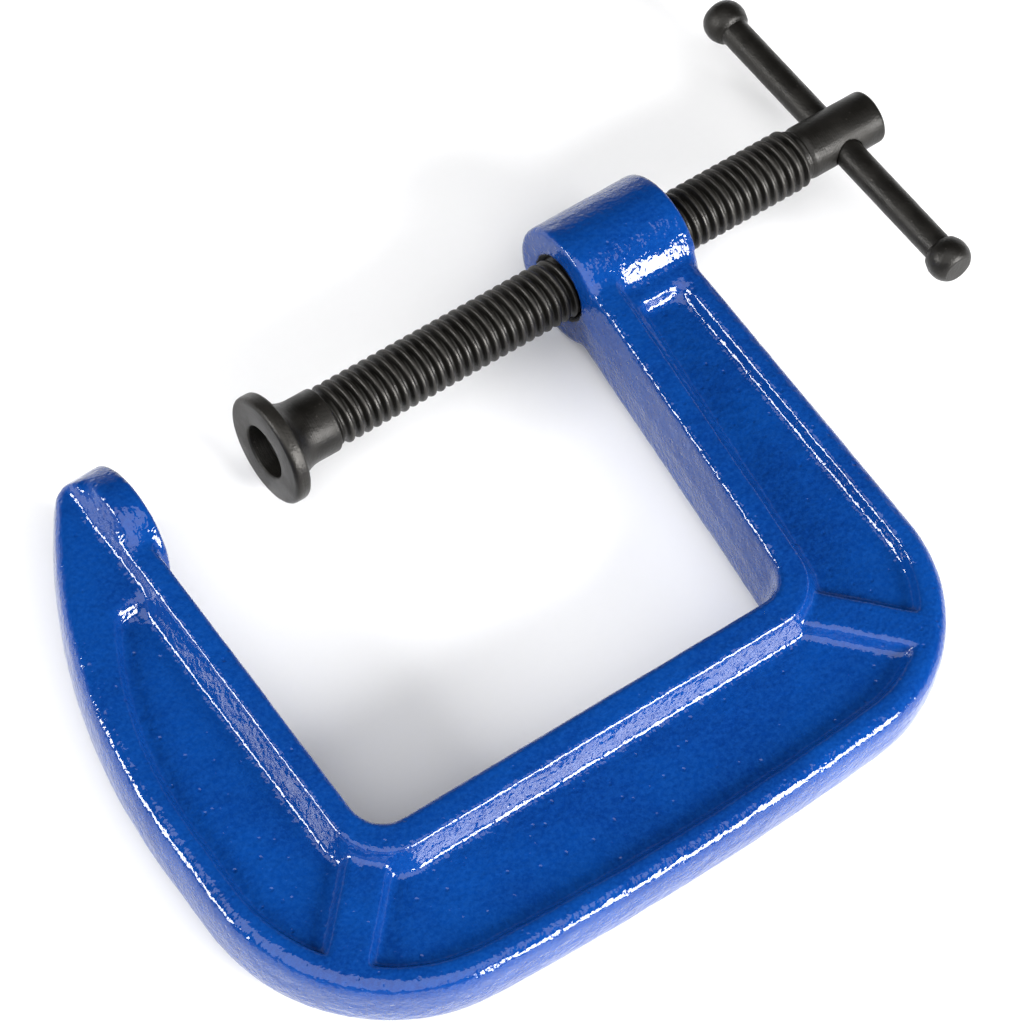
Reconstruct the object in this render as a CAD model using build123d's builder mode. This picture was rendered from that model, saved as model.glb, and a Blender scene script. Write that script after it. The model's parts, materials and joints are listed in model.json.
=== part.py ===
from build123d import *
import os
from math import radians, sqrt, tan

# G-clamp, lying on its side. The origin is the centre of the anvil's face, on the screw's
# axis. +X runs along the screw towards its head, the spine is on the -Y side, and the
# frame is symmetrical about the plane Z = 0. All sizes are in millimetres.

# ---- Clamp sizes -----------------------------------------------------------------------
capacity = 63.5             # widest gap between pad and anvil
throat_depth = 60.0         # from the screw's axis to the spine
jaw_gap = 21.9              # gap between pad and anvil as the clamp lies
bar_angle = -4.7            # turn of the tommy bar out of the frame's plane, degrees
bar_shift = -0.6            # tommy bar's middle, off the screw's axis along the bar

# ---- Frame casting ---------------------------------------------------------------------
rim_thickness = 14.5        # over the raised rim beside the throat, along Z
outer_thickness = 10.6      # over the outer rim, the ribs and the tip, along Z
draft = 3.0                 # taper of the outside walls, degrees
spine_width = 26.4          # at its middle
spine_bow = 3.4             # how far the back of the spine swells, corner to corner
arm_step = 0.9              # from the boss's end down to the back of the upper arm
arm_rise = 5.0              # how much the upper arm thickens between boss and spine
boss_radius = 9.6
boss_length = 18.8
boss_round = 0.7
boss_wrap = 0.6             # share of the boss's radius that the throat's side runs up to
anvil_radius = 9.6
anvil_edge = 4.4            # straight part of the anvil's side
anvil_cone_length = 2.6     # tapered part behind it
anvil_cone_radius = 5.4
anvil_round = 0.5
anvil_rise = 1.6            # anvil's face, above the lower arm
anvil_overhang = 0.6        # anvil's side, past the tip of the arm
lower_arm_depth = 23.9      # greatest depth of the lower arm
belly_radius = 90.0         # long curve along the back of the lower arm
belly_share = 0.75          # its deepest place, as a share of the throat's depth
tip_round = 4.2
upper_corner_radius = 25.0
lower_corner_radius = 29.0
throat_corner_radius = 4.6
rim_round = 1.1             # throat's edges
outer_round = 2.0           # edges along the backs of the arms and the spine

# ---- Pockets in both faces of the frame -------------------------------------------------
pocket_depth = 2.0          # below the outer rim
wall_lean = 26.0            # lean of the walls round the pockets, degrees
outer_rim = 4.0             # rim along the back of the arms and spine
spine_rim = 4.7             # raised rim beside the throat, along the spine
lower_rim = 4.1             # along the lower arm
upper_rim_at_spine = 3.6    # along the upper arm, at its spine end
upper_rim_at_boss = 4.8     # and at the boss
rim_corner = 8.0            # turn of the raised rim round the throat's corners
belly_pocket_radius = 60.0
rib_width = 5.3             # flat top of a corner rib
rib_drop = 2.6              # middle of the upper rib, from the throat's corner
pocket_to_boss = 0.3
pocket_to_axis = 11.8       # end of the lower arm's pocket, from the screw's axis
web_round = 0.8             # where a pocket's wall meets its floor

# ---- Screw -----------------------------------------------------------------------------
thread_radius = 4.7625      # 3/8 inch thread
thread_pitch = 1.5875       # 16 turns to the inch
thread_depth = 0.92
crest_width = 0.32
root_width = 0.36
bore_clearance = 0.05       # thread's crest to the bore of the boss
bore_chamfer = 0.7
head_clearance = 3.9        # screw's head to the boss when the clamp is closed
head_radius = 4.2
head_length = 13.2
head_round = 0.5
bar_hole_to_end = 6.95
spigot_radius = 3.1
spigot_root = 0.5           # how far the spigot reaches into the thread's core
spigot_clearance = 0.08
rivet_radius = 3.75
rivet_thickness = 1.0
rivet_edge = 0.5            # slope round the riveted end
ridge_sink = 0.15           # how deep the thread's ridge is set in the core

# ---- Swivel pad ------------------------------------------------------------------------
pad_radius = 8.5
pad_height = 10.2
flange_thickness = 2.5
flange_round = 0.5
flare_radius = 7.9          # where the flare meets the flange
neck_radius = 5.0
neck_length = 3.7
recess_radius = 4.15
recess_depth = 3.4
end_play = 0.1              # along the screw, at each end of the pad's bore

# ---- Tommy bar -------------------------------------------------------------------------
bar_radius = 2.3
bar_clearance = 0.08
bar_length = 59.0
knob_radius = 3.4
knob_length = 4.4
knob_flat = 2.3             # radius of the flat outer face of a knob
knob_widest = 0.45          # share of a knob's length, from its flat face to its widest place

# ---- Places that follow from the sizes --------------------------------------------------
half_thickness = rim_thickness / 2
boss_near = capacity + pad_height
boss_far = boss_near + boss_length
upper_back = boss_far - arm_step
upper_front = boss_near - arm_rise
spine_front = -throat_depth
spine_back = spine_front - spine_width
lower_front = -anvil_rise
lower_back = lower_front - lower_arm_depth
spine_middle = (lower_back + upper_back) / 2
tip_y = anvil_radius - anvil_overhang
belly_at = belly_share * throat_depth
outer_level = outer_thickness / 2
wall_run = (half_thickness - outer_level) * tan(radians(wall_lean))
rim_x_at_boss = boss_near + upper_rim_at_boss
rim_x_at_spine = upper_front + upper_rim_at_spine
rim_x_lower = lower_front - lower_rim
rim_y = spine_front - spine_rim
virtual_rim = outer_rim - wall_run
pocket_back_x = upper_back - virtual_rim
pocket_back_y = spine_back + virtual_rim
belly_pocket_x = lower_back + virtual_rim
tiny = 0.01
edge_band = 1.0
clear_of_frame = 10.0

pad_top = jaw_gap + pad_height
thread_start = pad_top + end_play
head_start = boss_far + head_clearance + jaw_gap
head_end = head_start + head_length
bar_x = head_end - bar_hole_to_end


def belly(radius, lowest, y):
    """Point of a long curve along the back of the lower arm, at a distance along the arm."""
    return (lowest + radius - sqrt(radius**2 - (y + belly_at) ** 2), y)


def is_over_throat(edge):
    """True for an edge of the raised rim that overhangs the throat."""
    middle = edge.center()
    beside_arms = lower_front - edge_band < middle.X < boss_near + edge_band
    return beside_arms and spine_front - edge_band < middle.Y < 0


def is_along_back(edge):
    """True for an edge along the back of the lower arm, the spine or the upper arm."""
    middle = edge.center()
    at_arm = middle.X < lower_back / 2 or middle.X > rim_x_at_boss + clear_of_frame
    return middle.Y < 0 and (at_arm or middle.Y < rim_y - clear_of_frame)


def is_back_corner(vertex):
    """True for one of the outline's two sharp corners at the back of the spine."""
    return abs(vertex.Y - spine_back - spine_bow) < tiny


def is_pocket_back_corner(vertex):
    """True for one of the pockets' two sharp corners at the back of the spine."""
    return abs(vertex.Y - pocket_back_y - spine_bow) < tiny


def is_rim_corner(vertex):
    """True for a corner where the raised rim turns from the spine into an arm."""
    return abs(vertex.Y - rim_y) < tiny


def is_pocket_floor(face):
    """True for the flat floor of a pocket."""
    return abs(face.center().Z - outer_level + pocket_depth) < tiny


# ---- Frame: one casting with a tapped boss, a C-shaped body and a round anvil -----------
with BuildPart() as frame:
    with BuildSketch(Plane.XY) as outline:
        with BuildLine():
            Polyline(
                (boss_near, 0),
                (boss_near, -boss_radius * boss_wrap),
                (upper_front, spine_front),
                (lower_front, spine_front),
                (lower_front, tip_y),
                belly(belly_radius, lower_back, tip_y),
            )
            ThreePointArc(
                belly(belly_radius, lower_back, tip_y),
                belly(belly_radius, lower_back, -belly_at / 3),
                (lower_back, -belly_at),
            )
            Line((lower_back, -belly_at), (lower_back, spine_back + spine_bow))
            ThreePointArc(
                (lower_back, spine_back + spine_bow),
                (spine_middle, spine_back),
                (upper_back, spine_back + spine_bow),
            )
            Polyline((upper_back, spine_back + spine_bow), (upper_back, 0), (boss_near, 0))
        make_face()
        throat_corners = outline.vertices().filter_by(lambda v: abs(v.Y - spine_front) < tiny)
        fillet(throat_corners, throat_corner_radius)
        fillet(outline.vertices().sort_by(Axis.Y)[-2:].sort_by(Axis.X)[0], tip_round)
        fillet(outline.vertices().filter_by(is_back_corner).sort_by(Axis.X)[0], lower_corner_radius)
        fillet(outline.vertices().filter_by(is_back_corner).sort_by(Axis.X)[-1], upper_corner_radius)
    extrude(amount=half_thickness, taper=draft)

    # the raised rim: all but a band beside the throat is lowered to the outer rim's level
    with BuildSketch(Plane.XY.offset(half_thickness)) as lowered:
        with BuildLine():
            Polyline(
                (rim_x_at_boss, clear_of_frame),
                (rim_x_at_boss, 0),
                (rim_x_at_spine, rim_y),
                (rim_x_lower, rim_y),
                (rim_x_lower, anvil_radius + clear_of_frame),
                (lower_back - clear_of_frame, anvil_radius + clear_of_frame),
                (lower_back - clear_of_frame, spine_back - clear_of_frame),
                (upper_back + clear_of_frame, spine_back - clear_of_frame),
                (upper_back + clear_of_frame, clear_of_frame),
                close=True,
            )
        make_face()
        fillet(lowered.vertices().filter_by(is_rim_corner), rim_corner)
    extrude(amount=outer_level - half_thickness, taper=wall_lean, mode=Mode.SUBTRACT)
    rim_top = frame.faces().sort_by(Axis.Z)[-1]
    fillet(rim_top.edges().filter_by(is_over_throat), rim_round)
    outer_face = frame.faces().filter_by(Axis.Z).sort_by(Axis.Z)[-2]
    fillet(outer_face.edges().filter_by(is_along_back), outer_round)

    # pockets: one C-shaped recess that two corner ribs divide into three
    with BuildSketch(Plane.XY.offset(half_thickness)) as pockets:
        with BuildLine():
            Polyline(
                (pocket_back_x, pocket_back_y + spine_bow),
                (pocket_back_x, -boss_radius - pocket_to_boss),
                (rim_x_at_boss, -boss_radius - pocket_to_boss),
                (rim_x_at_spine, rim_y),
                (rim_x_lower, rim_y),
                (rim_x_lower, -pocket_to_axis),
                belly(belly_pocket_radius, belly_pocket_x, -pocket_to_axis),
            )
            ThreePointArc(
                belly(belly_pocket_radius, belly_pocket_x, -pocket_to_axis),
                belly(belly_pocket_radius, belly_pocket_x, -belly_at / 2),
                (belly_pocket_x, -belly_at),
            )
            Line((belly_pocket_x, -belly_at), (belly_pocket_x, pocket_back_y + spine_bow))
            ThreePointArc(
                (belly_pocket_x, pocket_back_y + spine_bow),
                (spine_middle, pocket_back_y),
                (pocket_back_x, pocket_back_y + spine_bow),
            )
        make_face()
        fillet(pockets.vertices().filter_by(is_pocket_back_corner).sort_by(Axis.X)[0],
               lower_corner_radius - virtual_rim)
        fillet(pockets.vertices().filter_by(is_pocket_back_corner).sort_by(Axis.X)[-1],
               upper_corner_radius - virtual_rim)
        fillet(pockets.vertices().filter_by(is_rim_corner), rim_corner)
        rib_reach = 2 * (spine_width + rib_drop)
        with Locations((upper_front - rib_drop, spine_front)):
            Rectangle(rib_reach, rib_width - 2 * wall_run, rotation=-45, mode=Mode.SUBTRACT)
        with Locations((lower_front, spine_front)):
            Rectangle(rib_reach, rib_width - 2 * wall_run, rotation=45, mode=Mode.SUBTRACT)
    extrude(amount=-pocket_depth - half_thickness + outer_level, taper=wall_lean, mode=Mode.SUBTRACT)
    floors = frame.faces().filter_by(Axis.Z).filter_by(is_pocket_floor)
    fillet(floors.edges(), web_round)
    mirror(about=Plane.XY)

    # the boss, turned about the screw's axis
    with BuildSketch(Plane.XY) as boss_profile:
        with Locations((boss_near, 0)):
            Rectangle(boss_length, boss_radius, align=(Align.MIN, Align.MIN))
        fillet(boss_profile.vertices().group_by(Axis.Y)[-1], boss_round)
    revolve(axis=Axis.X)

    # the anvil: a round block with a flat face, tapering into the arm
    with BuildSketch(Plane.XY) as anvil_profile:
        with BuildLine():
            Polyline(
                (0, 0),
                (0, anvil_radius),
                (-anvil_edge, anvil_radius),
                (-anvil_edge - anvil_cone_length, anvil_cone_radius),
                (-anvil_edge - anvil_cone_length, 0),
                close=True,
            )
        make_face()
        fillet(anvil_profile.vertices().sort_by(Axis.X).sort_by(Axis.Y)[-1], anvil_round)
    revolve(axis=Axis.X)

    # the bore for the screw, chamfered at both ends
    bore_radius = thread_radius + bore_clearance
    with BuildSketch(Plane.XY):
        with BuildLine():
            Polyline(
                (boss_near, 0),
                (boss_near, bore_radius + bore_chamfer),
                (boss_near + bore_chamfer, bore_radius),
                (boss_far - bore_chamfer, bore_radius),
                (boss_far, bore_radius + bore_chamfer),
                (boss_far, 0),
                close=True,
            )
        make_face()
    revolve(axis=Axis.X, mode=Mode.SUBTRACT)

# ---- Screw: rolled thread, plain head cross-drilled for the bar, spigot held in the pad --
thread_length = head_start - thread_start
root_radius = thread_radius - thread_depth
flank_run = (thread_pitch - root_width - crest_width) / 2
ridge_base = crest_width + 2 * flank_run * (1 + ridge_sink / thread_depth)
bore_end = jaw_gap + recess_depth
bar_along = Vector(0, 1, 0).rotate(Axis.X, bar_angle)
bar_plane = Plane(origin=(bar_x, 0, 0), x_dir=(1, 0, 0), z_dir=bar_along)

with BuildPart() as screw:
    with BuildSketch(Plane.YZ.offset(thread_start)):
        Circle(root_radius)
    extrude(amount=thread_length)
    with BuildLine() as thread_path:
        Helix(
            pitch=thread_pitch,
            height=thread_length - 2 * thread_pitch,
            radius=root_radius,
            center=(thread_start + thread_pitch, 0, 0),
            direction=(1, 0, 0),
        )
    ridge_start = thread_path.line @ 0
    ridge_plane = Plane(
        origin=ridge_start,
        x_dir=ridge_start - Vector(ridge_start.X, 0, 0),
        z_dir=thread_path.line % 0,
    )
    with BuildSketch(ridge_plane):
        with BuildLine():
            Polyline(
                (-ridge_sink, -ridge_base / 2),
                (thread_depth, -crest_width / 2),
                (thread_depth, crest_width / 2),
                (-ridge_sink, ridge_base / 2),
                close=True,
            )
        make_face()
    sweep(path=thread_path.line, is_frenet=True)

    # head, spigot and riveted end, turned about the screw's axis
    with BuildSketch(Plane.XY) as head_profile:
        with Locations((head_start, 0)):
            Rectangle(head_length, head_radius, align=(Align.MIN, Align.MIN))
        fillet(head_profile.vertices().sort_by(Axis.X)[-2:].sort_by(Axis.Y)[-1], head_round)
    revolve(axis=Axis.X)
    with BuildSketch(Plane.XY):
        with BuildLine():
            Polyline(
                (thread_start + spigot_root, 0),
                (thread_start + spigot_root, spigot_radius),
                (bore_end - end_play, spigot_radius),
                (bore_end - end_play, rivet_radius),
                (bore_end - end_play - rivet_thickness, rivet_radius - rivet_edge),
                (bore_end - end_play - rivet_thickness, 0),
                close=True,
            )
        make_face()
    revolve(axis=Axis.X)
    with BuildSketch(bar_plane):
        Circle(bar_radius + bar_clearance)
    extrude(amount=2 * head_radius, both=True, mode=Mode.SUBTRACT)

# ---- Swivel pad: turned bell with a recessed face, loose on the screw's spigot ----------
with BuildPart() as swivel_pad:
    with BuildSketch(Plane.XY) as pad_profile:
        with BuildLine():
            Line((bore_end, spigot_radius + spigot_clearance), (bore_end, recess_radius))
            Line((bore_end, recess_radius), (jaw_gap, recess_radius))
            Line((jaw_gap, recess_radius), (jaw_gap, pad_radius))
            Line((jaw_gap, pad_radius), (jaw_gap + flange_thickness, pad_radius))
            Line((jaw_gap + flange_thickness, pad_radius), (jaw_gap + flange_thickness, flare_radius))
            TangentArc(
                (jaw_gap + flange_thickness, flare_radius),
                (pad_top - neck_length, neck_radius),
                tangent=(0.35, -1),
            )
            Line((pad_top - neck_length, neck_radius), (pad_top, neck_radius))
            Line((pad_top, neck_radius), (pad_top, spigot_radius + spigot_clearance))
            Line(
                (pad_top, spigot_radius + spigot_clearance),
                (bore_end, spigot_radius + spigot_clearance),
            )
        make_face()
        fillet(pad_profile.vertices().group_by(Axis.Y)[-1], flange_round)
    revolve(axis=Axis.X)

# ---- Tommy bar: plain rod with an upset knob at each end --------------------------------
bar_middle = Vector(bar_x, 0, 0) + bar_along * bar_shift
half_bar = bar_length / 2
neck_at = half_bar - knob_length
with BuildPart() as tommy_bar:
    with BuildSketch(Plane(origin=bar_middle, x_dir=bar_along, z_dir=(1, 0, 0))):
        with BuildLine():
            Line((0, 0), (half_bar, 0))
            Line((half_bar, 0), (half_bar, knob_flat))
            Spline(
                (half_bar, knob_flat),
                (half_bar - knob_length * knob_widest, knob_radius),
                (neck_at, bar_radius),
                tangents=((-0.25, 1), (-0.35, -1)),
            )
            Line((neck_at, bar_radius), (0, bar_radius))
            Line((0, bar_radius), (0, 0))
        make_face()
        mirror(about=Plane.YZ)
    revolve(axis=Axis(bar_middle, bar_along))

# ---- Labels and files ------------------------------------------------------------------
os.makedirs("parts", exist_ok=True)
frame.part.label = "frame"
screw.part.label = "screw"
swivel_pad.part.label = "swivel_pad"
tommy_bar.part.label = "tommy_bar"
export_step(frame.part, "parts/frame.step")
export_step(screw.part, "parts/screw.step")
export_step(swivel_pad.part, "parts/swivel_pad.step")
export_step(tommy_bar.part, "parts/tommy_bar.step")
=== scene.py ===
import json
import math

import bmesh
import bpy
from bpy.props import FloatProperty, FloatVectorProperty, IntProperty, PointerProperty
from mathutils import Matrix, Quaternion, Vector
from mathutils.bvhtree import BVHTree


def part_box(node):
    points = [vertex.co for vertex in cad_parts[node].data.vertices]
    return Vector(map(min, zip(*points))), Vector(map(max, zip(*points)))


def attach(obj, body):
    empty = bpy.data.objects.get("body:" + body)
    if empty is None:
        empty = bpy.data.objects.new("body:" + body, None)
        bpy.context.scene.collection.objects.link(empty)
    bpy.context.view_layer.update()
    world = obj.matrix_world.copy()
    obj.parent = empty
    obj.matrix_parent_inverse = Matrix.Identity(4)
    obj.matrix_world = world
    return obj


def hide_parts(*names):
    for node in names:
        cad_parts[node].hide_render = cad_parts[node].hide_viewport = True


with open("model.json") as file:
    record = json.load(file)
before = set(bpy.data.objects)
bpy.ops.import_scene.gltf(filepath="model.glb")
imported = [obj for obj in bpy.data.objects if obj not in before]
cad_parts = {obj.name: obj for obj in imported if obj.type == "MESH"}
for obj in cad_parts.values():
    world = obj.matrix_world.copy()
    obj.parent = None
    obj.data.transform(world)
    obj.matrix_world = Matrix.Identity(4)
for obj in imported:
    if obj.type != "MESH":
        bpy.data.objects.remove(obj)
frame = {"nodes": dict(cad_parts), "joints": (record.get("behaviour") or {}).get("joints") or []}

bl_info = {
    "name": "G-clamp",
    "version": (1, 0, 0),
    "blender": (4, 5, 0),
    "location": "3D View > Sidebar > Clamp",
    "description": "Models and finishes a cast G-clamp around its measured frame",
    "category": "Object",
}

# ---- Places taken from the measured frame -----------------------------------------------
CASTING_LOW, CASTING_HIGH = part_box("frame")
PAD_LOW, PAD_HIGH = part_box("swivel_pad")
SCREW_LOW, SCREW_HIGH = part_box("screw")
BAR_LOW, BAR_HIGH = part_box("tommy_bar")
JOINTS = {joint["name"]: joint for joint in frame["joints"]}
MM = 0.001
ALONG_SCREW = Vector((1, 0, 0))
ALONG_BAR = Vector(JOINTS["bar_slide"]["axis"]).normalized()
BAR_MIDDLE = (BAR_LOW + BAR_HIGH) / 2
THREAD_RADIUS = SCREW_HIGH.y
PAD_RADIUS = PAD_HIGH.y
KNOB_RADIUS = (BAR_HIGH.x - BAR_LOW.x) / 2
KNOB_LEAN = 0.09        # share of a knob's radius that adds to the bar's extent as it leans
BAR_LENGTH = ((BAR_HIGH.y - BAR_LOW.y) - 2 * KNOB_RADIUS * KNOB_LEAN) / ALONG_BAR.y

# ---- Places on the casting, in the frame's own axes --------------------------------------
ROUND_RADIUS = CASTING_HIGH.z               # of the boss and of the anvil
BOSS_LENGTH = 18.8 * MM
BOSS_START = CASTING_HIGH.x - BOSS_LENGTH
ANVIL_BACK = -7.0 * MM                      # where the anvil's taper ends in the arm
ANVIL_SPAN = (-7.5 * MM, -0.8 * MM)         # the part of the anvil that is blended
ANVIL_EDGE = -3.0 * MM                      # behind this the anvil is blended all round
TIP_BACK = -13.0 * MM                       # how far back the arm's tip is trimmed
ARM_SIDE = -3.0 * MM                        # the arms leave the round parts below this
FACE_MARGIN = 0.3 * MM                      # kept clear of the machined end faces
BORE_SKIN = 0.4 * MM                        # the bore's wall, which is not softened
BORE_PAINT_EDGE = 0.75 * MM                 # the paint stops this far outside the thread
CONE_MIDDLE = -6.0 * MM
CONE_LEVEL = 4.6 * MM
POCKET_LEVEL = 2.6 * MM                     # below the pockets' floors
EDGE_LEVEL = 2.2 * MM                       # where the outer edge's rounding starts
OUTER_LEVEL = 5.36 * MM                     # just above the outer rim
LEAST_LEAN = 0.12                           # least sideways share of an outer normal
POCKET_ENDS = (                             # place and reach of each
    (Vector((-9.4, -13.2)) * MM, 4.6 * MM),
    (Vector((86.9, -11.4)) * MM, 2.6 * MM),
)

# ---- The view -----------------------------------------------------------------------------
CAMERA_PLACE = Vector((-0.19962, -0.27110, 0.58476))
CAMERA_AIM = Vector((0.04602, -0.02691, 0.0))
CAMERA_ROLL = 10.985


def length(name, description, default):
    """A size in metres that a user may change."""
    return FloatProperty(name=name, description=description, default=default, min=0.0,
                         precision=5, subtype="DISTANCE", unit="LENGTH")


def colour(name, description, default):
    """A linear colour that a user may change."""
    return FloatVectorProperty(name=name, description=description, default=default, min=0.0,
                               max=1.0, size=3, subtype="COLOR")


def share(name, description, default, top=1.0):
    """A plain number that a user may change."""
    return FloatProperty(name=name, description=description, default=default, min=0.0, max=top)


def passes(name, description, default):
    """A number of smoothing passes that a user may change."""
    return IntProperty(name=name, description=description, default=default, min=0)


def power(name, description, default):
    """A light's power in watts that a user may change."""
    return FloatProperty(name=name, description=description, default=default, min=0.0, unit="POWER")


class ClampCasting(bpy.types.PropertyGroup):
    grid: length("Grid", "Spacing of the grid that the casting is re-cut on", 0.36 * MM)
    edge_passes: passes("Edge passes", "Softening of every edge", 10)
    blend_passes: passes("Blend passes", "Softening where boss and anvil meet the arms", 26)
    round_passes: passes("Round passes", "Softening of the outer edge and the pockets' ends", 45)
    blend_reach: length("Blend reach", "How far the soft blends spread", 2.6 * MM)
    lump_size: length("Lump size", "Size of the sand mould's low swellings", 7.0 * MM)
    lump_height: length("Lump height", "Height of the sand mould's low swellings", 0.16 * MM)
    triangles: IntProperty(name="Triangles", description="Most triangles in the casting",
                           default=190000, min=1000)


class ClampScrew(bpy.types.PropertyGroup):
    pitch: length("Pitch", "Advance of the thread in one turn", 1.5875 * MM)
    depth: length("Depth", "Depth of the thread", 0.92 * MM)
    head_radius: length("Head radius", "Radius of the plain head", 4.2 * MM)
    head_length: length("Head length", "Length of the plain head", 13.2 * MM)
    hole_radius: length("Hole radius", "Radius of the cross hole for the tommy bar", 2.38 * MM)
    spigot_radius: length("Spigot radius", "Radius of the spigot in the swivel pad", 3.1 * MM)
    rivet_radius: length("Rivet radius", "Radius of the spigot's spread end", 3.75 * MM)


class ClampPad(bpy.types.PropertyGroup):
    flange: length("Flange", "Thickness of the flange", 2.5 * MM)
    flare_radius: length("Flare radius", "Radius where the flare meets the flange", 7.9 * MM)
    neck_radius: length("Neck radius", "Radius of the neck", 5.0 * MM)
    neck_length: length("Neck length", "Length of the straight neck", 3.7 * MM)
    recess_radius: length("Recess radius", "Radius of the recess in the face", 4.15 * MM)
    recess_depth: length("Recess depth", "Depth of the recess in the face", 3.4 * MM)
    bore_radius: length("Bore radius", "Radius of the bore for the spigot", 3.18 * MM)


class ClampBar(bpy.types.PropertyGroup):
    rod_radius: length("Rod radius", "Radius of the plain rod", 2.3 * MM)
    knob_length: length("Knob length", "Length of an upset knob", 4.4 * MM)
    flat_radius: length("Flat radius", "Radius of a knob's flat end", 2.3 * MM)


class ClampFinish(bpy.types.PropertyGroup):
    enamel: colour("Enamel", "Colour of the blue enamel", (0.0012, 0.036, 0.20))
    enamel_deep: colour("Deep enamel", "Colour where the enamel has run thick", (0.0010, 0.026, 0.16))
    enamel_pale: colour("Pale enamel", "Colour where the enamel is thin", (0.006, 0.060, 0.26))
    steel: colour("Steel", "Colour of the black oxide", (0.0115, 0.0105, 0.0090))
    steel_worn: colour("Worn steel", "Colour where the oxide is rubbed", (0.052, 0.048, 0.043))
    oil: colour("Oil", "Colour of the oil left in the thread's roots", (0.005, 0.0045, 0.004))


class ClampStudio(bpy.types.PropertyGroup):
    floor: colour("Floor", "Colour of the studio floor", (0.94, 0.94, 0.945))
    key: power("Key", "Power of the key light", 8.0)
    fill: power("Fill", "Power of the fill light", 3.5)
    top: power("Top", "Power of the broad light above", 17.0)
    sky: share("Sky", "Brightness near the horizon", 0.6, 10.0)
    dome: share("Dome", "Brightness overhead", 0.02, 10.0)
    lens: FloatProperty(name="Lens", description="Focal length of the camera", default=168.98, min=1.0)


# ---- Helpers for modelling by hand ------------------------------------------------------
def clear_selection():
    """Leaves edit mode with nothing selected."""
    if bpy.context.object and bpy.context.object.mode != "OBJECT":
        bpy.ops.object.mode_set(mode="OBJECT")
    bpy.ops.object.select_all(action="DESELECT")


def pick(piece):
    """Makes a piece the only one selected and the active one."""
    clear_selection()
    piece.select_set(True)
    bpy.context.view_layer.objects.active = piece


def name_piece(name):
    """Names the active object and its mesh."""
    piece = bpy.context.object
    piece.name = name
    piece.data.name = name
    return piece


def first_point(name, place):
    """A new mesh of one point, left in edit mode with the point selected."""
    clear_selection()
    bpy.ops.mesh.primitive_plane_add(size=MM)
    piece = name_piece(name)
    bpy.ops.object.mode_set(mode="EDIT")
    bpy.ops.mesh.select_all(action="SELECT")
    bpy.ops.mesh.merge(type="CENTER")
    bpy.ops.transform.translate(value=place)
    return piece


def pull(step):
    """Extrudes the selected point by a step."""
    bpy.ops.mesh.extrude_vertices_move(TRANSFORM_OT_translate={"value": step})


def round_corners(piece, corners):
    """Rounds profile corners, given as (place, radius), with the profile in edit mode."""
    for place, radius in corners:
        bpy.ops.mesh.select_all(action="DESELECT")
        mesh = bmesh.from_edit_mesh(piece.data)
        near = min(mesh.verts, key=lambda v: (v.co - place).length)
        near.select_set(True)
        bmesh.update_edit_mesh(piece.data)
        bpy.ops.mesh.bevel(offset=radius, segments=4, affect="VERTICES")


def turned(name, origin, along, out, outline, steps=96):
    """A piece turned about an axis. The outline's points are (distance along the axis,
    radius, corner rounding)."""
    places = [origin + along * reach + out * radius for reach, radius, _ in outline]
    piece = first_point(name, places[0])
    for before, after in zip(places, places[1:]):
        pull(after - before)
    round_corners(piece, [(place, point[2]) for place, point in zip(places, outline) if point[2]])
    bpy.ops.mesh.select_all(action="SELECT")
    bpy.ops.mesh.spin(steps=steps, angle=2 * math.pi, center=origin, axis=along)
    bpy.ops.mesh.select_all(action="SELECT")
    bpy.ops.mesh.remove_doubles(threshold=MM / 500)
    bpy.ops.mesh.normals_make_consistent(inside=False)
    clear_selection()
    return piece


def add_modifier(piece, kind, **settings):
    """Adds a modifier with its settings and applies it."""
    pick(piece)
    modifier = piece.modifiers.new(kind.title(), kind)
    for key, value in settings.items():
        setattr(modifier, key, value)
    bpy.ops.object.modifier_apply(modifier=modifier.name)


def join(pieces):
    """Joins pieces into the first of them."""
    clear_selection()
    for piece in pieces:
        piece.select_set(True)
    bpy.context.view_layer.objects.active = pieces[0]
    bpy.ops.object.join()
    return pieces[0]


def smooth(piece, angle):
    """Smooth shading up to an angle in degrees."""
    pick(piece)
    bpy.ops.object.shade_smooth_by_angle(angle=math.radians(angle))


def hand_over(piece, body):
    """Finishes a piece: applies its transform, puts it on the body it rides on and hides the node it stands
    for.
    """
    pick(piece)
    bpy.ops.object.transform_apply(location=True, rotation=True, scale=True)
    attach(piece, body)
    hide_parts(body)


# ---- Helpers for materials --------------------------------------------------------------
def nodes_of(tree):
    """Short calls that add nodes and links to a node tree."""
    def add(kind, **inputs):
        node = tree.nodes.new(kind)
        for key, value in inputs.items():
            setattr(node, key, value)
        return node

    def link(source, target):
        tree.links.new(source, target)

    return add, link


def new_group(name, inputs, outputs):
    """A node group with named inputs (name, type, default) and outputs (name, type)."""
    group = bpy.data.node_groups.new(name, "ShaderNodeTree")
    for label, kind, default in inputs:
        socket = group.interface.new_socket(name=label, in_out="INPUT", socket_type=kind)
        if default is not None:
            socket.default_value = default
    for label, kind in outputs:
        group.interface.new_socket(name=label, in_out="OUTPUT", socket_type=kind)
    add, link = nodes_of(group)
    return group, add, link, add("NodeGroupInput"), add("NodeGroupOutput")


def math_node(add, link, operation, first, second=None):
    """A Math node on two sockets or numbers."""
    node = add("ShaderNodeMath", operation=operation)
    for socket, value in zip(node.inputs, (first, second)):
        if value is None:
            continue
        if isinstance(value, (int, float)):
            socket.default_value = value
        else:
            link(value, socket)
    return node.outputs[0]


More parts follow.
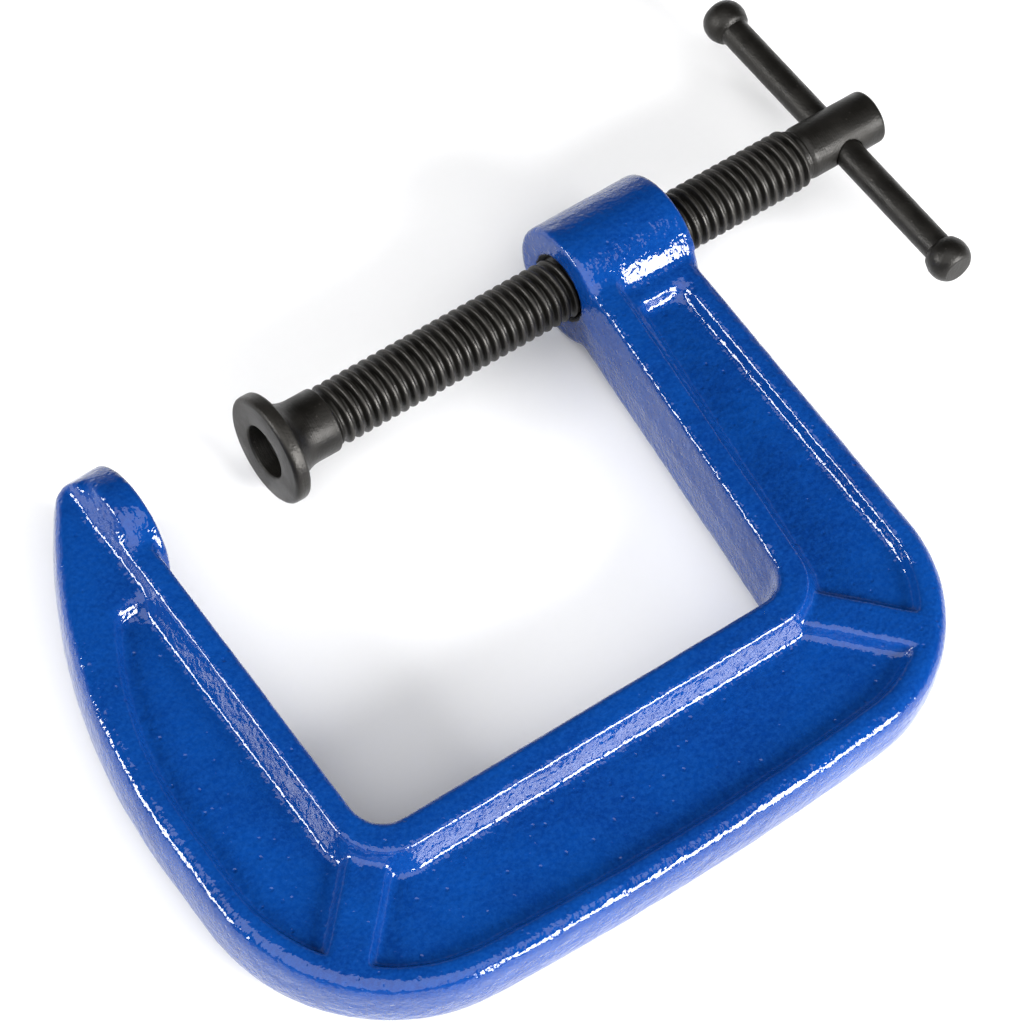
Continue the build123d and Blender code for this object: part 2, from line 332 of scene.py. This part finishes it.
def noise_node(add, link, vector, scale, detail=3.0, roughness=0.5):
    """A Noise Texture on a vector; scale is a socket or a number per metre."""
    node = add("ShaderNodeTexNoise")
    link(vector, node.inputs["Vector"])
    if isinstance(scale, (int, float)):
        node.inputs["Scale"].default_value = scale
    else:
        link(scale, node.inputs["Scale"])
    node.inputs["Detail"].default_value = detail
    node.inputs["Roughness"].default_value = roughness
    return node.outputs["Fac"]


def band(add, link, value, low, high):
    """0 below low, 1 above high and smooth between."""
    node = add("ShaderNodeMapRange", interpolation_type="SMOOTHSTEP")
    link(value, node.inputs["Value"])
    for socket, number in (("From Min", low), ("From Max", high)):
        if isinstance(number, (int, float)):
            node.inputs[socket].default_value = number
        else:
            link(number, node.inputs[socket])
    return node.outputs["Result"]


def sand_cast_group():
    """Lumps, grain and pits of a sand casting under thick paint."""
    group, add, link, given, made = new_group(
        "Sand cast skin",
        [("Vector", "NodeSocketVector", None), ("Lump Scale", "NodeSocketFloat", 320.0),
         ("Grain Scale", "NodeSocketFloat", 1300.0), ("Lump Height", "NodeSocketFloat", 1.0),
         ("Grain Height", "NodeSocketFloat", 0.4), ("Pit Share", "NodeSocketFloat", 0.25)],
        [("Height", "NodeSocketFloat"), ("Pits", "NodeSocketFloat")],
    )
    vector = given.outputs["Vector"]
    lumps = noise_node(add, link, vector, given.outputs["Lump Scale"], 1.0, 0.5)
    grain = noise_node(add, link, vector, given.outputs["Grain Scale"], 1.5, 0.5)
    cells = add("ShaderNodeTexVoronoi", feature="F1")
    link(vector, cells.inputs["Vector"])
    link(math_node(add, link, "MULTIPLY", given.outputs["Grain Scale"], 0.55), cells.inputs["Scale"])
    chance = add("ShaderNodeSeparateColor")
    link(cells.outputs["Color"], chance.inputs[0])
    chosen = math_node(add, link, "LESS_THAN", chance.outputs[0], given.outputs["Pit Share"])
    dip = math_node(add, link, "SUBTRACT", 1.0, band(add, link, cells.outputs["Distance"], 0.05, 0.32))
    pits = math_node(add, link, "MULTIPLY", chosen, dip)
    height = math_node(add, link, "MULTIPLY", lumps, given.outputs["Lump Height"])
    height = math_node(add, link, "ADD", height,
                       math_node(add, link, "MULTIPLY", grain, given.outputs["Grain Height"]))
    height = math_node(add, link, "SUBTRACT", height, math_node(add, link, "MULTIPLY", pits, 0.35))
    link(height, made.inputs["Height"])
    link(pits, made.inputs["Pits"])
    return group


def blotch_group():
    """Slow patches of a finish, and fine specks on it."""
    group, add, link, given, made = new_group(
        "Patches and specks",
        [("Vector", "NodeSocketVector", None), ("Patch Scale", "NodeSocketFloat", 60.0),
         ("Speck Scale", "NodeSocketFloat", 900.0), ("Speck Share", "NodeSocketFloat", 0.05)],
        [("Patches", "NodeSocketFloat"), ("Specks", "NodeSocketFloat")],
    )
    vector = given.outputs["Vector"]
    patches = band(add, link, noise_node(add, link, vector, given.outputs["Patch Scale"], 4.0), 0.35, 0.65)
    cells = add("ShaderNodeTexVoronoi", feature="F1")
    link(vector, cells.inputs["Vector"])
    link(given.outputs["Speck Scale"], cells.inputs["Scale"])
    chance = add("ShaderNodeSeparateColor")
    link(cells.outputs["Color"], chance.inputs[0])
    chosen = math_node(add, link, "LESS_THAN", chance.outputs[1], given.outputs["Speck Share"])
    spot = math_node(add, link, "LESS_THAN", cells.outputs["Distance"], 0.22)
    link(patches, made.inputs["Patches"])
    link(math_node(add, link, "MULTIPLY", chosen, spot), made.inputs["Specks"])
    return group


def radius_group():
    """Distance from the screw's axis, and turning marks that run round it."""
    group, add, link, given, made = new_group(
        "Turning marks",
        [("Vector", "NodeSocketVector", None), ("Mark Scale", "NodeSocketFloat", 4000.0)],
        [("Radius", "NodeSocketFloat"), ("Marks", "NodeSocketFloat")],
    )
    parts = add("ShaderNodeSeparateXYZ")
    link(given.outputs["Vector"], parts.inputs[0])
    across = add("ShaderNodeCombineXYZ")
    link(parts.outputs["Y"], across.inputs["Y"])
    link(parts.outputs["Z"], across.inputs["Z"])
    size = add("ShaderNodeVectorMath", operation="LENGTH")
    link(across.outputs[0], size.inputs[0])
    flat = add("ShaderNodeCombineXYZ")
    link(size.outputs["Value"], flat.inputs["X"])
    link(parts.outputs["X"], flat.inputs["Y"])
    marks = noise_node(add, link, flat.outputs[0], given.outputs["Mark Scale"], 2.0)
    link(size.outputs["Value"], made.inputs["Radius"])
    link(marks, made.inputs["Marks"])
    return group


def blank_material(name):
    """A new material with a Principled BSDF, and calls that add to it."""
    material = bpy.data.materials.new(name)
    material.use_nodes = True
    tree = material.node_tree
    add, link = nodes_of(tree)
    shader = next(n for n in tree.nodes if n.type == "BSDF_PRINCIPLED")
    place = add("ShaderNodeTexCoord").outputs["Object"]
    return material, add, link, shader, place


def place_group(add, link, group, vector, **values):
    """A node group placed in a material with its own values."""
    node = add("ShaderNodeGroup", node_tree=group)
    link(vector, node.inputs["Vector"])
    for key, value in values.items():
        node.inputs[key.replace("_", " ")].default_value = value
    return node


def mixed(add, link, mask, first, second):
    """Two colours mixed by a mask; a colour is a socket or three numbers."""
    node = add("ShaderNodeMix", data_type="RGBA")
    link(mask, node.inputs["Factor"])
    for socket, value in ((node.inputs[6], first), (node.inputs[7], second)):
        if hasattr(value, "links"):
            link(value, socket)
        else:
            socket.default_value = (*value, 1.0)
    return node.outputs[2]


def ranged(add, link, value, low, high):
    """A 0 to 1 value spread from low to high."""
    node = add("ShaderNodeMapRange")
    link(value, node.inputs["Value"])
    node.inputs["To Min"].default_value = low
    node.inputs["To Max"].default_value = high
    return node.outputs["Result"]


def bumped(add, link, shader, height, distance, strength=1.0, socket="Normal"):
    """Feeds a height to a shader's normal."""
    node = add("ShaderNodeBump")
    node.inputs["Strength"].default_value = strength
    node.inputs["Distance"].default_value = distance
    link(height, node.inputs["Height"])
    link(node.outputs["Normal"], shader.inputs[socket])
    return node


def enamel_material(finish):
    """Glossy blue enamel over a sand casting."""
    material, add, link, shader, place = blank_material("enamel_on_casting")
    skin = place_group(add, link, bpy.data.node_groups["Sand cast skin"], place, Lump_Scale=360.0,
                       Grain_Scale=1300.0, Lump_Height=1.0, Grain_Height=0.55, Pit_Share=0.2)
    patch = place_group(add, link, bpy.data.node_groups["Patches and specks"], place,
                        Patch_Scale=75.0, Speck_Scale=1100.0, Speck_Share=0.04)
    coat = mixed(add, link, patch.outputs["Patches"], finish.enamel, finish.enamel_deep)
    coat = mixed(add, link, math_node(add, link, "MULTIPLY", skin.outputs["Pits"], 0.5), coat,
                 finish.enamel_deep)
    grain = band(add, link, noise_node(add, link, place, 1700.0, 3.0, 0.6), 0.30, 0.72)
    coat = mixed(add, link, math_node(add, link, "MULTIPLY", grain, 0.45), coat, finish.enamel_pale)
    link(coat, shader.inputs["Base Color"])
    link(ranged(add, link, patch.outputs["Patches"], 0.05, 0.10), shader.inputs["Roughness"])
    shader.inputs["IOR"].default_value = 1.50
    bumped(add, link, shader, skin.outputs["Height"], 0.20 * MM)
    return material


def steel_material(finish, name, crest, worn):
    """Black oxide on steel. crest is the radius past which it is rubbed, worn how much."""
    material, add, link, shader, place = blank_material(name)
    marks = place_group(add, link, bpy.data.node_groups["Turning marks"], place, Mark_Scale=5000.0)
    patch = place_group(add, link, bpy.data.node_groups["Patches and specks"], place,
                        Patch_Scale=260.0, Speck_Scale=1500.0, Speck_Share=0.06)
    grain = noise_node(add, link, place, 2600.0, 4.0, 0.6)
    rubbed = band(add, link, marks.outputs["Radius"], crest - 0.25 * MM, crest)
    rubbed = math_node(add, link, "MULTIPLY", rubbed, ranged(add, link, grain, 0.0, worn))
    base = mixed(add, link, patch.outputs["Patches"], finish.steel, [v * 1.35 for v in finish.steel])
    base = mixed(add, link, rubbed, base, finish.steel_worn)
    base = mixed(add, link, math_node(add, link, "MULTIPLY", patch.outputs["Specks"], 0.6), base,
                 finish.steel_worn)
    link(base, shader.inputs["Base Color"])
    shader.inputs["Metallic"].default_value = 0.55
    link(ranged(add, link, patch.outputs["Patches"], 0.33, 0.46), shader.inputs["Roughness"])
    lines = math_node(add, link, "MULTIPLY", marks.outputs["Marks"], 0.6)
    height = math_node(add, link, "ADD", grain, lines)
    bumped(add, link, shader, height, 0.06 * MM)
    return material


def bore_material(finish):
    """Bare tapped iron, dark with oil."""
    material, add, link, shader, place = blank_material("tapped_iron")
    marks = place_group(add, link, bpy.data.node_groups["Turning marks"], place, Mark_Scale=3000.0)
    patch = place_group(add, link, bpy.data.node_groups["Patches and specks"], place,
                        Patch_Scale=500.0, Speck_Scale=1500.0, Speck_Share=0.1)
    link(mixed(add, link, patch.outputs["Patches"], finish.oil, finish.steel), shader.inputs["Base Color"])
    shader.inputs["Metallic"].default_value = 0.5
    link(ranged(add, link, marks.outputs["Marks"], 0.35, 0.6), shader.inputs["Roughness"])
    bumped(add, link, shader, marks.outputs["Marks"], 0.08 * MM)
    return material


# ---- Operators: one for each piece ------------------------------------------------------
class CLAMP_OT_finishes(bpy.types.Operator):
    """Make the finishes that the pieces share"""
    bl_idname = "clamp.finishes"
    bl_label = "Finishes"

    def execute(self, context):
        finish = context.scene.clamp_finish
        sand_cast_group()
        blotch_group()
        radius_group()
        enamel_material(finish)
        bore_material(finish)
        steel_material(finish, "thread_steel", THREAD_RADIUS, 0.9)
        steel_material(finish, "pad_steel", PAD_RADIUS, 0.5)
        steel_material(finish, "bar_steel", 1.0, 0.0)
        return {"FINISHED"}


class CLAMP_OT_casting(bpy.types.Operator):
    """Model the cast frame with its soft edges, blends and low lumps"""
    bl_idname = "clamp.casting"
    bl_label = "Cast frame"

    def execute(self, context):
        sizes = context.scene.clamp_casting
        pick(frame["nodes"]["frame"])
        bpy.ops.object.duplicate()
        casting = name_piece("cast_frame")
        casting.parent = None
        for key in list(casting.keys()):
            del casting[key]
        bpy.ops.object.mode_set(mode="EDIT")
        bpy.ops.mesh.select_all(action="SELECT")
        bpy.ops.mesh.remove_doubles(threshold=MM / 1000)
        bpy.ops.mesh.normals_make_consistent(inside=False)
        clear_selection()
        casting.data.materials.clear()
        add_modifier(casting, "REMESH", mode="VOXEL", voxel_size=sizes.grid, adaptivity=0.0)
        self.trim_tip(casting)
        self.weigh(casting, sizes.blend_reach)
        add_modifier(casting, "SMOOTH", factor=0.5, iterations=sizes.edge_passes, vertex_group="skin")
        add_modifier(casting, "SMOOTH", factor=0.5, iterations=sizes.blend_passes, vertex_group="blends")
        add_modifier(casting, "SMOOTH", factor=0.5, iterations=sizes.round_passes, vertex_group="rounds")
        add_modifier(casting, "SMOOTH", factor=0.5, iterations=sizes.round_passes, vertex_group="pocket_ends")
        lumps = bpy.data.textures.new("mould_lumps", "CLOUDS")
        lumps.noise_scale = sizes.lump_size
        lumps.noise_depth = 2
        add_modifier(casting, "DISPLACE", texture=lumps, texture_coords="LOCAL", mid_level=0.5,
                     strength=sizes.lump_height, vertex_group="skin")
        for vertex in casting.data.vertices:
            for axis in range(3):
                vertex.co[axis] = max(CASTING_LOW[axis], min(CASTING_HIGH[axis], vertex.co[axis]))
        count = sum(len(face.vertices) - 2 for face in casting.data.polygons)
        if count > sizes.triangles:
            add_modifier(casting, "DECIMATE", ratio=sizes.triangles / count)
        for group in list(casting.vertex_groups):
            casting.vertex_groups.remove(group)
        pick(casting)
        bpy.ops.object.shade_smooth()
        casting.data.materials.append(bpy.data.materials["enamel_on_casting"])
        casting.data.materials.append(bpy.data.materials["tapped_iron"])
        for face in casting.data.polygons:
            around = math.hypot(face.center.y, face.center.z)
            if face.center.x > SCREW_LOW.x and around < THREAD_RADIUS + BORE_PAINT_EDGE:
                face.material_index = 1
        hand_over(casting, "frame")
        return {"FINISHED"}

    def trim_tip(self, casting):
        """Brings the arm's tip inside the round of the anvil."""
        anvil_face = -0.4 * MM
        widening = 0.3
        beside_axis = 2.0 * MM
        for vertex in casting.data.vertices:
            x, y, z = vertex.co
            around = math.hypot(y, z)
            most = ROUND_RADIUS + max(0.0, ANVIL_BACK - x) * widening
            if TIP_BACK < x < anvil_face and y > beside_axis and around > most:
                vertex.co.y *= most / around
                vertex.co.z *= most / around

    def weigh(self, casting, reach):
        """Vertex groups: skin is all but the bore, blends is where round parts meet the arms,
        rounds is the outer edge and pocket_ends is the pockets' ends on the arms."""
        groups = {name: casting.vertex_groups.new(name=name)
                  for name in ("skin", "blends", "rounds", "pocket_ends")}

        def weight(name, vertex, away, size):
            """Full weight in the middle of a place and none at its edge."""
            if away < size:
                groups[name].add([vertex.index], 1 - (away / size) ** 2, "REPLACE")

        for vertex in casting.data.vertices:
            x, y, z = vertex.co
            around = math.hypot(y, z)
            if BOSS_START - MM < x and around < THREAD_RADIUS + BORE_SKIN:
                continue
            groups["skin"].add([vertex.index], 1.0, "REPLACE")
            if self.beside_boss(x, y) or self.beside_anvil(x, y):
                weight("blends", vertex, abs(around - ROUND_RADIUS - FACE_MARGIN), reach)
            if abs(z) > CONE_LEVEL and around < ROUND_RADIUS - FACE_MARGIN:
                weight("blends", vertex, abs(x - CONE_MIDDLE), reach)
            for place, size in POCKET_ENDS:
                if abs(z) > POCKET_LEVEL:
                    weight("pocket_ends", vertex, (Vector((x, y)) - place).length, size)
        for index in self.outer_edge(casting):
            groups["rounds"].add([index], 1.0, "REPLACE")

    def beside_boss(self, x, y):
        """True along the boss, on the arm's side."""
        return BOSS_START + FACE_MARGIN < x < CASTING_HIGH.x - FACE_MARGIN and y < ARM_SIDE

    def beside_anvil(self, x, y):
        """True along the anvil, on the arm's side or behind its edge."""
        return ANVIL_SPAN[0] < x < ANVIL_SPAN[1] and (y < ARM_SIDE or x < ANVIL_EDGE)

    def outer_edge(self, casting):
        """Indices of the vertices on the outer edge: no iron stands outward of them."""
        tree = BVHTree.FromPolygons([vertex.co for vertex in casting.data.vertices],
                                    [face.vertices for face in casting.data.polygons])
        found = []
        for vertex in casting.data.vertices:
            x, y, z = vertex.co
            if BOSS_START - MM < x and math.hypot(y, z) < THREAD_RADIUS + BORE_SKIN:
                continue
            outward = Vector((vertex.normal.x, vertex.normal.y, 0))
            if EDGE_LEVEL < abs(z) < OUTER_LEVEL and outward.length > LEAST_LEAN and y < -2.0 * MM:
                if tree.ray_cast(vertex.co + outward * MM, outward)[0] is None:
                    found.append(vertex.index)
        return found


class CLAMP_OT_screw(bpy.types.Operator):
    """Model the screw: rounded thread, cross-drilled head and riveted spigot"""
    bl_idname = "clamp.screw"
    bl_label = "Screw"

    def execute(self, context):
        sizes = context.scene.clamp_screw
        head_start = SCREW_HIGH.x - sizes.head_length
        thread = self.thread(sizes, PAD_HIGH.x + 0.1 * MM, head_start + 0.6 * MM)
        head = self.head(sizes, head_start)
        spigot = turned(
            "spigot", Vector((0, 0, 0)), ALONG_SCREW, Vector((0, 0, 1)),
            [(SCREW_LOW.x, 0, 0), (SCREW_LOW.x, sizes.rivet_radius - 0.5 * MM, 0.2 * MM),
             (SCREW_LOW.x + 0.5 * MM, sizes.rivet_radius, 0.2 * MM),
             (SCREW_LOW.x + 1.0 * MM, sizes.rivet_radius, 0),
             (SCREW_LOW.x + 1.0 * MM, sizes.spigot_radius, 0),
             (PAD_HIGH.x + 0.5 * MM, sizes.spigot_radius, 0), (PAD_HIGH.x + 0.5 * MM, 0, 0)], 48)
        screw = join([thread, head, spigot])
        name_piece("screw_and_head")
        smooth(screw, 50)
        screw.data.materials.append(bpy.data.materials["thread_steel"])
        hand_over(screw, "screw")
        return {"FINISHED"}

    def thread(self, sizes, start, end):
        """A rolled thread: one pitch of rounded profile, screwed along the axis."""
        points = 14
        around = 44
        flatness = 0.16
        middle = THREAD_RADIUS - sizes.depth / 2
        places = []
        for index in range(points + 1):
            turn = 2 * math.pi * index / points
            wave = (math.cos(turn) - flatness * math.cos(3 * turn)) / (1 - flatness)
            places.append(Vector((start - sizes.pitch + sizes.pitch * index / points, 0,
                                  middle + sizes.depth / 2 * wave)))
        piece = first_point("thread", places[0])
        for before, after in zip(places, places[1:]):
            pull(after - before)
        clear_selection()
        turns = math.ceil((end - start) / sizes.pitch) + 2
        add_modifier(piece, "SCREW", axis="X", angle=2 * math.pi, screw_offset=sizes.pitch,
                     steps=around, render_steps=around, iterations=turns, use_merge_vertices=True,
                     merge_threshold=MM / 500)
        run_out = 1.3 * sizes.pitch
        low = middle - sizes.depth / 2
        for vertex in piece.data.vertices:
            radius = math.hypot(vertex.co.y, vertex.co.z)
            to_head = (end - 0.6 * MM - vertex.co.x) / run_out
            to_pad = (vertex.co.x - start) / (0.6 * run_out)
            left = max(min(to_head, to_pad, 1.0), 0.0)
            keep = left * left * (3 - 2 * left)
            goal = low + (radius - low) * keep
            vertex.co.y *= goal / radius
            vertex.co.z *= goal / radius
        pick(piece)
        bpy.ops.object.mode_set(mode="EDIT")
        for place, normal in ((start, -1), (end, 1)):
            bpy.ops.mesh.select_all(action="SELECT")
            bpy.ops.mesh.bisect(plane_co=(place, 0, 0), plane_no=(normal, 0, 0), use_fill=True,
                                clear_outer=True, threshold=MM / 10000)
        bpy.ops.mesh.select_all(action="SELECT")
        bpy.ops.mesh.remove_doubles(threshold=MM / 500)
        bpy.ops.mesh.normals_make_consistent(inside=False)
        clear_selection()
        return piece

    def head(self, sizes, start):
        """The plain head, with a softened cross hole for the tommy bar."""
        head = turned(
            "head", Vector((start, 0, 0)), ALONG_SCREW, Vector((0, 0, 1)),
            [(-0.5 * MM, 0, 0), (-0.5 * MM, sizes.head_radius - 0.35 * MM, 0),
             (0.4 * MM, sizes.head_radius, 0.2 * MM), (sizes.head_length, sizes.head_radius, 0.5 * MM),
             (sizes.head_length, 0, 0)])
        hole = turned(
            "hole", Vector((BAR_MIDDLE.x, 0, 0)), ALONG_BAR, Vector((1, 0, 0)),
            [(-10 * MM, 0, 0), (-10 * MM, sizes.hole_radius, 0), (10 * MM, sizes.hole_radius, 0),
             (10 * MM, 0, 0)], 48)
        add_modifier(head, "BOOLEAN", operation="DIFFERENCE", object=hole, solver="EXACT")
        bpy.data.objects.remove(hole)
        add_modifier(head, "REMESH", mode="VOXEL", voxel_size=0.13 * MM, adaptivity=0.0)
        add_modifier(head, "SMOOTH", factor=0.5, iterations=4)
        add_modifier(head, "DECIMATE", ratio=0.4)
        return head


class CLAMP_OT_pad(bpy.types.Operator):
    """Model the turned swivel pad with its recessed face and flare"""
    bl_idname = "clamp.pad"
    bl_label = "Swivel pad"

    def execute(self, context):
        sizes = context.scene.clamp_pad
        face = PAD_LOW.x
        top = PAD_HIGH.x
        flare_top = top - sizes.neck_length - face
        sweep = []
        steps = 10
        narrowing = sizes.flare_radius - sizes.neck_radius
        for index in range(1, steps):
            turn = math.pi / 2 * index / steps
            reach = sizes.flange + 0.1 * MM + (flare_top - sizes.flange) * (1 - math.cos(turn))
            sweep.append((reach, sizes.flare_radius - narrowing * math.sin(turn), 0))
        height = top - face
        outline = [
            (sizes.recess_depth, sizes.bore_radius, 0),
            (sizes.recess_depth, sizes.recess_radius, 0.15 * MM),
            (0, sizes.recess_radius, 0.35 * MM),
            (0, PAD_RADIUS, 0.75 * MM),
            (sizes.flange, PAD_RADIUS, 0.6 * MM),
            (sizes.flange, sizes.flare_radius, 0.12 * MM),
            *sweep,
            (flare_top, sizes.neck_radius, 0),
            (height, sizes.neck_radius, 0.3 * MM),
            (height, sizes.bore_radius, 0.2 * MM),
            (sizes.recess_depth, sizes.bore_radius, 0),
        ]
        origin = Vector((face, 0, 0))
        pad = turned("swivel_pad_bell", origin, ALONG_SCREW, Vector((0, 0, 1)), outline, 128)
        smooth(pad, 40)
        pad.data.materials.append(bpy.data.materials["pad_steel"])
        hand_over(pad, "swivel_pad")
        return {"FINISHED"}


class CLAMP_OT_bar(bpy.types.Operator):
    """Model the tommy bar with its two upset knobs"""
    bl_idname = "clamp.bar"
    bl_label = "Tommy bar"

    def execute(self, context):
        sizes = context.scene.clamp_bar
        half = BAR_LENGTH / 2
        neck = half - sizes.knob_length
        ball = KNOB_RADIUS
        knob = [
            (neck - 0.25 * MM, sizes.rod_radius, 0),
            (neck, sizes.rod_radius + 0.25 * MM, 0.1 * MM),
            (neck + 0.2 * MM, sizes.rod_radius + 0.6 * MM, 0),
            (neck + 0.75 * MM, ball - 0.28 * MM, 0),
            (neck + 1.45 * MM, ball - 0.03 * MM, 0),
            (neck + 2.2 * MM, ball, 0),
            (neck + 2.95 * MM, ball - 0.10 * MM, 0),
            (neck + 3.6 * MM, ball - 0.38 * MM, 0),
            (neck + 4.1 * MM, ball - 0.75 * MM, 0),
            (half, sizes.flat_radius, 0.15 * MM),
            (half, 0, 0),
        ]
        outline = [(-reach, radius, corner) for reach, radius, corner in reversed(knob)] + knob
        bar = turned("tommy_bar_rod", BAR_MIDDLE, ALONG_BAR, Vector((1, 0, 0)), outline, 72)
        smooth(bar, 40)
        bar.data.materials.append(bpy.data.materials["bar_steel"])
        hand_over(bar, "tommy_bar")
        return {"FINISHED"}


class CLAMP_OT_stage(bpy.types.Operator):
    """Set up the pale floor, the soft lights and the camera"""
    bl_idname = "clamp.stage"
    bl_label = "Studio"

    def execute(self, context):
        studio = context.scene.clamp_studio
        middle = (CASTING_LOW + CASTING_HIGH) / 2
        clear_selection()
        floor_width = 4.0
        bpy.ops.mesh.primitive_plane_add(size=floor_width, location=(middle.x, middle.y, CASTING_LOW.z))
        floor = name_piece("studio_floor")
        floor.data.materials.append(self.floor_material(studio))
        pick(floor)
        bpy.ops.object.transform_apply(location=True)
        self.light("key_light", (-67, 22), 0.62, (0.32, 0.26), studio.key, middle)
        self.light("fill_light", (157, 24), 0.62, (0.26, 0.16), studio.fill, middle)
        self.light("top_light", (-135, 62), 1.20, (1.60, 1.60), studio.top, middle)
        world = bpy.data.worlds.new("studio_air")
        world.use_nodes = True
        add, link = nodes_of(world.node_tree)
        air = next(n for n in world.node_tree.nodes if n.type == "BACKGROUND")
        way = add("ShaderNodeSeparateXYZ")
        link(add("ShaderNodeTexCoord").outputs["Generated"], way.inputs[0])
        height = band(add, link, way.outputs["Z"], 0.0, 0.45)
        link(mixed(add, link, height, (1.0, 1.0, 1.0), [studio.dome / studio.sky] * 3), air.inputs["Color"])
        air.inputs["Strength"].default_value = studio.sky
        context.scene.world = world
        context.scene.view_settings.view_transform = "Standard"
        self.camera(context, studio)
        return {"FINISHED"}

    def floor_material(self, studio):
        """Pale matt paper."""
        material, add, link, shader, place = blank_material("studio_paper")
        grain = noise_node(add, link, place, 900.0, 3.0)
        link(mixed(add, link, grain, studio.floor, [v * 0.985 for v in studio.floor]),
             shader.inputs["Base Color"])
        shader.inputs["Roughness"].default_value = 0.9
        shader.inputs["Specular IOR Level"].default_value = 0.2
        return material

    def light(self, name, towards, distance, size, power, middle):
        """An area light, placed by its azimuth and elevation in degrees and facing the clamp."""
        azimuth, elevation = (math.radians(v) for v in towards)
        way = Vector((math.cos(azimuth) * math.cos(elevation), math.sin(azimuth) * math.cos(elevation),
                      math.sin(elevation)))
        bpy.ops.object.light_add(type="AREA", location=middle + way * distance)
        lamp = bpy.context.object
        lamp.name = name
        lamp.data.shape = "RECTANGLE"
        lamp.data.size, lamp.data.size_y = size
        lamp.data.energy = power
        lamp.rotation_euler = way.to_track_quat("Z", "Y").to_euler()

    def camera(self, context, studio):
        """The camera, above and beside the anvil, a little rolled."""
        bpy.ops.object.camera_add(location=CAMERA_PLACE)
        camera = bpy.context.object
        level = (CAMERA_AIM - camera.location).to_track_quat("-Z", "Y")
        roll = math.radians(CAMERA_ROLL)
        camera.rotation_mode = "QUATERNION"
        camera.rotation_quaternion = level @ Quaternion((0, 0, 1), roll)
        camera.data.lens = studio.lens
        camera.data.sensor_width = 36.0
        camera.data.clip_start = 0.01
        context.scene.camera = camera


class CLAMP_PT_sidebar(bpy.types.Panel):
    """The clamp's pieces and their sizes"""
    bl_idname = "CLAMP_PT_sidebar"
    bl_label = "G-clamp"
    bl_space_type = "VIEW_3D"
    bl_region_type = "UI"
    bl_category = "Clamp"

    def draw(self, context):
        for operator, group in STEPS:
            box = self.layout.box()
            box.operator(operator)
            if group:
                settings = getattr(context.scene, group)
                for key in settings.bl_rna.properties.keys():
                    if key not in {"rna_type", "name"}:
                        box.prop(settings, key)


GROUPS = (
    ("clamp_finish", ClampFinish),
    ("clamp_casting", ClampCasting),
    ("clamp_screw", ClampScrew),
    ("clamp_pad", ClampPad),
    ("clamp_bar", ClampBar),
    ("clamp_studio", ClampStudio),
)
STEPS = (
    ("clamp.finishes", "clamp_finish"),
    ("clamp.casting", "clamp_casting"),
    ("clamp.screw", "clamp_screw"),
    ("clamp.pad", "clamp_pad"),
    ("clamp.bar", "clamp_bar"),
    ("clamp.stage", "clamp_studio"),
)
OPERATORS = (
    CLAMP_OT_finishes,
    CLAMP_OT_casting,
    CLAMP_OT_screw,
    CLAMP_OT_pad,
    CLAMP_OT_bar,
    CLAMP_OT_stage,
    CLAMP_PT_sidebar,
)


def register():
    for name, group in GROUPS:
        bpy.utils.register_class(group)
        setattr(bpy.types.Scene, name, PointerProperty(type=group))
    for operator in OPERATORS:
        bpy.utils.register_class(operator)


def unregister():
    for operator in reversed(OPERATORS):
        bpy.utils.unregister_class(operator)
    for name, group in reversed(GROUPS):
        delattr(bpy.types.Scene, name)
        bpy.utils.unregister_class(group)


def main():
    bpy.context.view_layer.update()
    register()
    bpy.ops.clamp.finishes()
    bpy.ops.clamp.casting()
    bpy.ops.clamp.screw()
    bpy.ops.clamp.pad()
    bpy.ops.clamp.bar()
    bpy.ops.clamp.stage()


if __name__ == "__main__":
    main()
